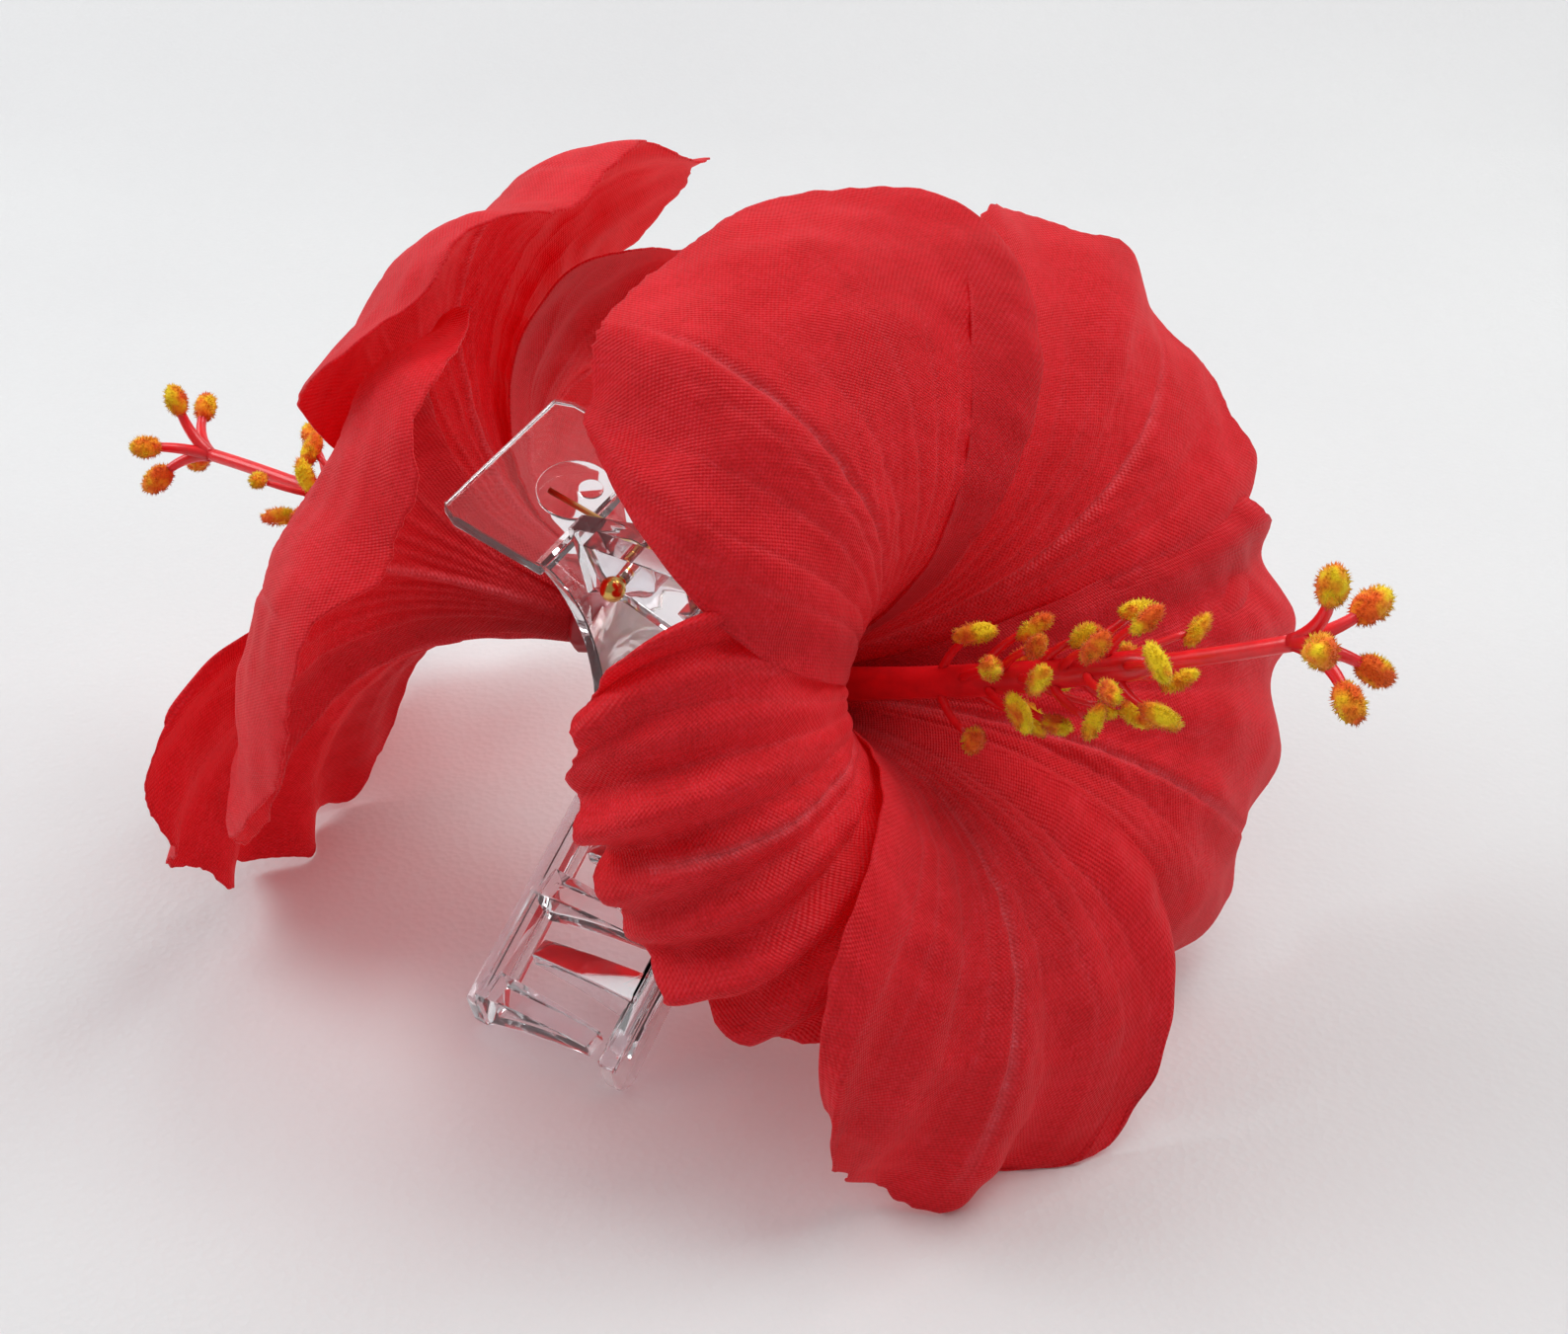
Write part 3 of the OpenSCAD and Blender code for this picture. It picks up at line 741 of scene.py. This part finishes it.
def slab(outline, thickness, matrix, bevel=0.3, mirror=False):
    """Flat plate from an outline, its edges rounded over."""
    bm = bmesh.new()
    verts = [bm.verts.new((x, y, 0)) for x, y in outline]
    face = bm.faces.new(verts)
    top = bmesh.ops.extrude_face_region(bm, geom=[face])
    moved = [g for g in top["geom"] if isinstance(g, bmesh.types.BMVert)]
    bmesh.ops.translate(bm, verts=moved, vec=(0, 0, thickness))
    bmesh.ops.recalc_face_normals(bm, faces=bm.faces)
    if bevel:
        sharp = [e for e in bm.edges if len(e.link_faces) == 2 and e.calc_face_angle(0) > math.radians(28)]
        bmesh.ops.bevel(bm, geom=sharp, offset=bevel, segments=3, profile=0.6, affect="EDGES",
                        clamp_overlap=False)
    bm.transform(matrix)
    if mirror:
        bm.transform(Matrix.Scale(-1, 4, (1, 0, 0)))
    bmesh.ops.recalc_face_normals(bm, faces=bm.faces)
    bm.transform(Matrix.Scale(MM, 4) @ REST)
    mesh = bpy.data.meshes.new("solid")
    bm.to_mesh(mesh)
    bm.free()
    return bpy.data.objects.new("solid", mesh)


def join_solids(name, solids, cutters, mat):
    """One body from solids that overlap, less the cutters."""
    scratch = bpy.data.collections.new(name + " solids")
    cuts = bpy.data.collections.new(name + " cuts")
    bpy.context.scene.collection.children.link(scratch)
    bpy.context.scene.collection.children.link(cuts)
    base = solids[0]
    bpy.context.scene.collection.objects.link(base)
    for other in solids[1:]:
        scratch.objects.link(other)
    for other in cutters:
        cuts.objects.link(other)
    add = base.modifiers.new("add", "BOOLEAN")
    add.operation, add.operand_type, add.collection, add.solver = "UNION", "COLLECTION", scratch, "EXACT"
    cut = base.modifiers.new("cut", "BOOLEAN")
    cut.operation, cut.operand_type, cut.collection, cut.solver = "DIFFERENCE", "COLLECTION", cuts, "EXACT"
    deps = bpy.context.evaluated_depsgraph_get()
    mesh = bpy.data.meshes.new_from_object(base.evaluated_get(deps))
    for other in solids + cutters:
        bpy.data.objects.remove(other)
    bpy.data.collections.remove(scratch)
    bpy.data.collections.remove(cuts)
    mesh.name = name
    mesh.materials.clear()
    mesh.materials.append(mat)
    mesh.polygons.foreach_set("use_smooth", [True] * len(mesh.polygons))
    mesh.set_sharp_from_angle(angle=math.radians(32))
    obj = bpy.data.objects.new(name, mesh)
    bpy.context.scene.collection.objects.link(obj)
    return obj


def circle(r, n=40):
    return [(r * math.cos(2 * math.pi * j / n), r * math.sin(2 * math.pi * j / n)) for j in range(n)]


# outline (y, z), thickness along x
UPRIGHT = Matrix(((0, 0, 1, 0), (1, 0, 0, 0), (0, 1, 0, 0), (0, 0, 0, 1)))
# outline (x, z), thickness along -y
ALONG_PIN = Matrix(((1, 0, 0, 0), (0, 0, -1, 0), (0, 1, 0, 0), (0, 0, 0, 1)))


def jaw_piece(name, body, ear_y, square, teeth, mirror):
    """A clear jaw: wall, bead, ledge, handle with its pads, ears and teeth, less the pin's bore."""
    start = RIM_JOIN + 2
    corners = [(HANDLE_HALF, 0.3), (7, -11), (6.4, -27), (start, rim_z(start))]
    half = [bezier(corners, i / 16) for i in range(17)]
    turns = [math.radians(a) for a in range(0, 91, 15)]
    round_r = 3
    end = [(JAW_END - round_r * (1 - math.cos(a)), rim_z(JAW_END) - BAND + round_r * (1 - math.sin(a)))
           for a in turns]
    wall = both_sides(half + [(JAW_END, rim_z(JAW_END))] + end + [(RIM_JOIN, -RIM_DEPTH - BAND)])

    def strip(top, bottom, gap):
        e = JAW_END - gap
        return both_sides([(start, rim_z(start) - top), (e, rim_z(e) - top), (e, rim_z(e) - bottom),
                           (RIM_JOIN, -RIM_DEPTH - bottom)])

    def at(x):
        return Matrix.Translation((x, 0, 0)) @ UPRIGHT

    bead, ledge = 0.6, 1.4
    solids = [slab(wall, WALL, at(-JAW_HALF), 0.35, mirror),
              slab(strip(0, 1.2, 0), WALL + bead, at(-JAW_HALF - bead), 0.3, mirror),
              slab(strip(2.3, 4.5, 3), WALL + ledge, at(-JAW_HALF), 0.35, mirror)]
    half_tip, cut = HANDLE_HALF - 1.1, HANDLE_LENGTH - 2.4
    tip = [(0, -HANDLE_HALF), (cut, -HANDLE_HALF), (HANDLE_LENGTH, -half_tip),
           (HANDLE_LENGTH, half_tip), (cut, HANDLE_HALF), (0, HANDLE_HALF)]
    face = Matrix.Translation((-HANDLE_ROOT, 0, 0)) @ Matrix.Rotation(HANDLE_RISE, 4, "Y")
    plate = face @ Matrix.Translation((0, 0, -WALL)) @ Matrix.Scale(-1, 4, (1, 0, 0))
    solids.append(slab(tip, WALL, plate, 0.35, mirror))
    # round pad under the spring's leg, and the small one beside it
    solids.append(slab(circle(5.0), 0.5, face @ Matrix.Translation((-4, 0, -0.1)), 0.15, mirror))
    solids.append(slab(circle(1.6), 0.5, face @ Matrix.Translation((-2.4, 1.1, 0.15)), 0.1, mirror))
    for s in (-1, 1):
        top_edge = [(-10.5, EAR_R), (5, EAR_R), (4, -1)] if square else [(-10.5, 2)]
        nose = [(EAR_R * math.cos(math.radians(a)), EAR_R * math.sin(math.radians(a)))
                for a in range(-30 if square else 90, -91, -15)]
        put = Matrix.Translation((0, s * ear_y + EAR_THICK / 2, 0)) @ ALONG_PIN
        solids.append(slab(top_edge + nose + [(-10.5, -9)], EAR_THICK, put, 0.25, mirror))
    for y in teeth:
        upper = [(TOOTH_REACH * i / 10, -1.5 * (i / 10) ** 2) for i in range(11)]
        lower = [(TOOTH_REACH * i / 10, -3.6 - 2.8 * (1 - i / 10) ** 2) for i in range(10, -1, -1)]
        bm = bmesh.new()
        rows = []
        for s in (-1, 1):
            rows.append([bm.verts.new((x, s * (TOOTH_ROOT / 2 - 0.8 * x / TOOTH_REACH), z))
                         for x, z in upper + lower])
        bm.faces.new(rows[0])
        bm.faces.new(list(reversed(rows[1])))
        n = len(rows[0])
        for j in range(n):
            bm.faces.new((rows[0][j], rows[0][(j + 1) % n], rows[1][(j + 1) % n], rows[1][j]))
        bmesh.ops.recalc_face_normals(bm, faces=bm.faces)
        sharp = [e for e in bm.edges if e.calc_face_angle(0) > math.radians(40)]
        bmesh.ops.bevel(bm, geom=sharp, offset=0.35, segments=3, profile=0.6, affect="EDGES",
                        clamp_overlap=False)
        bm.transform(Matrix.Translation((-JAW_HALF + WALL / 2, y, rim_z(y) - bead)))
        if mirror:
            bm.transform(Matrix.Scale(-1, 4, (1, 0, 0)))
        bmesh.ops.recalc_face_normals(bm, faces=bm.faces)
        bm.transform(Matrix.Scale(MM, 4) @ REST)
        mesh = bpy.data.meshes.new("tooth")
        bm.to_mesh(mesh)
        bm.free()
        solids.append(bpy.data.objects.new("tooth", mesh))
    bore = slab(circle(PIN_R + 0.06, 24), 24, Matrix.Translation((0, 12, 0)) @ ALONG_PIN, 0)
    piece = join_solids(name, solids, [bore], ACRYLIC)
    show(piece, body, body + "_jaw")


pitch = (2 * JAW_END - TOOTH_ROOT - 1.4) / 6
jaw_piece("left_clear_jaw", "left", 5.55, False, [(i - 3) * pitch for i in range(7)], False)
jaw_piece("right_clear_jaw", "right", 8.9, True, [(i - 2.5) * pitch for i in range(6)], True)

pin = Build()
pin.tube([(0, -10.6 + 21.2 * i / 8, 0) for i in range(9)], PIN_R, 20)
for end in (-1, 1):
    rings = []
    for i in range(17):
        lat = -math.pi / 2 + math.pi * (i + 0.3) / 16.6
        ring_r, ring_y = BALL_R * math.cos(lat), end * 12.04 + BALL_R * math.sin(lat)
        rings.append([Vector((ring_r * math.cos(a), ring_y, ring_r * math.sin(a)))
                      for a in (2 * math.pi * j / 28 for j in range(28))])
    pin.rings(rings)
show(pin.piece("gold_hinge_pin", REST, GOLD), "left", "hinge_pin")

spring = Build()
path = []
turns = 9
lift = HANDLE_RISE + math.radians(1)


def leg(side):
    """From its end under the handle in to the coil's underside."""
    return [Vector((side * d * math.cos(lift), side * LEG_Y, -COIL_R + d * math.sin(lift)))
            for d in (17.0, 13.0, 9.0, 5.0, 2.0)]


path += leg(-1)
steps = 240
for i in range(steps + 1):
    a = -math.pi / 2 - 2 * math.pi * turns * i / steps
    path.append(Vector((COIL_R * math.cos(a), -LEG_Y + 2 * LEG_Y * i / steps, COIL_R * math.sin(a))))
path += list(reversed(leg(1)))
spring.tube(path, WIRE_R, 12)
piece = spring.piece("spring_coil", REST, WIRE)
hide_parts("torsion_spring")
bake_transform(piece)


# ---------------------------------------------------------------- studio
def studio_material():
    """Pale leather-like table covering."""
    mat, nodes, links, shader, out = material("table")
    coords = nodes.new("ShaderNodeTexCoord")
    grain = nodes.new("ShaderNodeTexVoronoi")
    grain.inputs["Scale"].default_value = 900.0
    links.new(coords.outputs["Object"], grain.inputs["Vector"])
    soft = noise_node(nodes, links, coords.outputs["Object"], 5.0, 3.0)
    tint = ramp(nodes, [(0.3, (0.71, 0.71, 0.715)), (0.7, (0.75, 0.755, 0.755))])
    links.new(soft.outputs["Fac"], tint.inputs["Fac"])
    links.new(tint.outputs["Color"], shader.inputs["Base Color"])
    relief = bump_node(nodes, links, grain.outputs["Distance"], 0.0003, 0.25)
    links.new(relief.outputs["Normal"], shader.inputs["Normal"])
    shader.inputs["Roughness"].default_value = 0.5
    shader.inputs["Specular IOR Level"].default_value = 0.3
    return mat


def backdrop():
    """Floor that sweeps up behind the object."""
    a = math.radians(35)
    away, side = Vector((-math.sin(a), math.cos(a), 0)), Vector((math.cos(a), math.sin(a), 0))
    flat_end, sweep_r, wall_height = 0.30, 0.25, 2.2
    profile = [(-9.0, 0.0), (-1.6, 0.0), (-0.4, 0.0), (0.0, 0.0), (flat_end, 0.0)]
    for i in range(1, 13):
        b = math.radians(90 * i / 12)
        profile.append((flat_end + sweep_r * math.sin(b), sweep_r - sweep_r * math.cos(b)))
    profile.append((flat_end + sweep_r, wall_height))
    verts, faces = [], []
    for d, z in profile:
        for x in (-6.0, 6.0):
            verts.append(away * d + side * x + Vector((0, 0, z)))
    for i in range(len(profile) - 1):
        faces.append((2 * i, 2 * i + 1, 2 * i + 3, 2 * i + 2))
    return mesh_piece("table_and_backdrop", verts, faces, studio_material())


def softbox(name, place, aim, size, power, colour=(1, 1, 1)):
    data = bpy.data.lights.new(name, "AREA")
    data.shape = "RECTANGLE"
    data.size, data.size_y = size
    data.energy = power
    data.color = colour
    lamp = bpy.data.objects.new(name, data)
    lamp.location = place
    lamp.rotation_euler = (Vector(place) - Vector(aim)).to_track_quat("Z", "Y").to_euler()
    bpy.context.scene.collection.objects.link(lamp)
    return lamp


stage = [backdrop()]
stage.append(softbox("top_softbox", (0.22, 0.30, 0.70), (0, 0, 0.03), (0.5, 0.5), 3.7, (1.0, 0.99, 0.98)))
stage.append(softbox("left_softbox", (-0.62, -0.30, 0.62), (0, 0, 0.05), (0.5, 0.5), 4.2, (0.97, 0.98, 1.0)))
stage.append(softbox("right_softbox", (0.75, -0.35, 0.35), (0, 0, 0.05), (0.4, 0.5), 0.25))
world = bpy.data.worlds.new("studio air")
world.use_nodes = True
world.node_tree.nodes["Background"].inputs["Color"].default_value = (0.87, 0.885, 0.90, 1)
world.node_tree.nodes["Background"].inputs["Strength"].default_value = 0.37
scene = bpy.context.scene
scene.world = world
scene.view_settings.view_transform = "Standard"
scene.view_settings.look = "None"
scene.view_settings.exposure = 0.0
